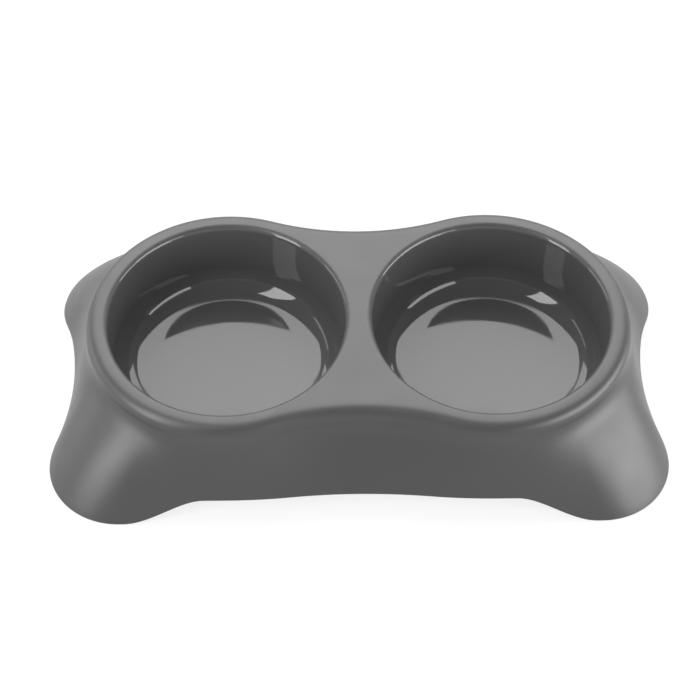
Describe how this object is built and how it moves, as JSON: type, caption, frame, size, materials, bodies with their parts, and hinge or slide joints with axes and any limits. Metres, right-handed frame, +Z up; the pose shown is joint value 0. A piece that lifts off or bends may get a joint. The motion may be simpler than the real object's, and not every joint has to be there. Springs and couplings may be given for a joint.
{
  "type": "double pet bowl",
  "caption": "Double pet bowl moulded in one shell, with two round bowls in a waisted deck, a flared skirt with finger arches, and rubber feet.",
  "frame": {"origin": "on the ground, under the middle of the shell", "axes": "+X along the row of two bowls, to the right; +Y to the back; +Z up"},
  "size_m": [0.333, 0.1838, 0.06],
  "materials": {
    "shell": "grey polypropylene, fine satin texture outside, polished inside the bowls",
    "rubber": "matt black rubber"
  },
  "bodies": {
    "root": {"body": "shell", "rubber_foot_front_left": "rubber", "rubber_foot_front_right": "rubber", "rubber_foot_back_left": "rubber", "rubber_foot_back_right": "rubber"}
  },
  "joints": []
}
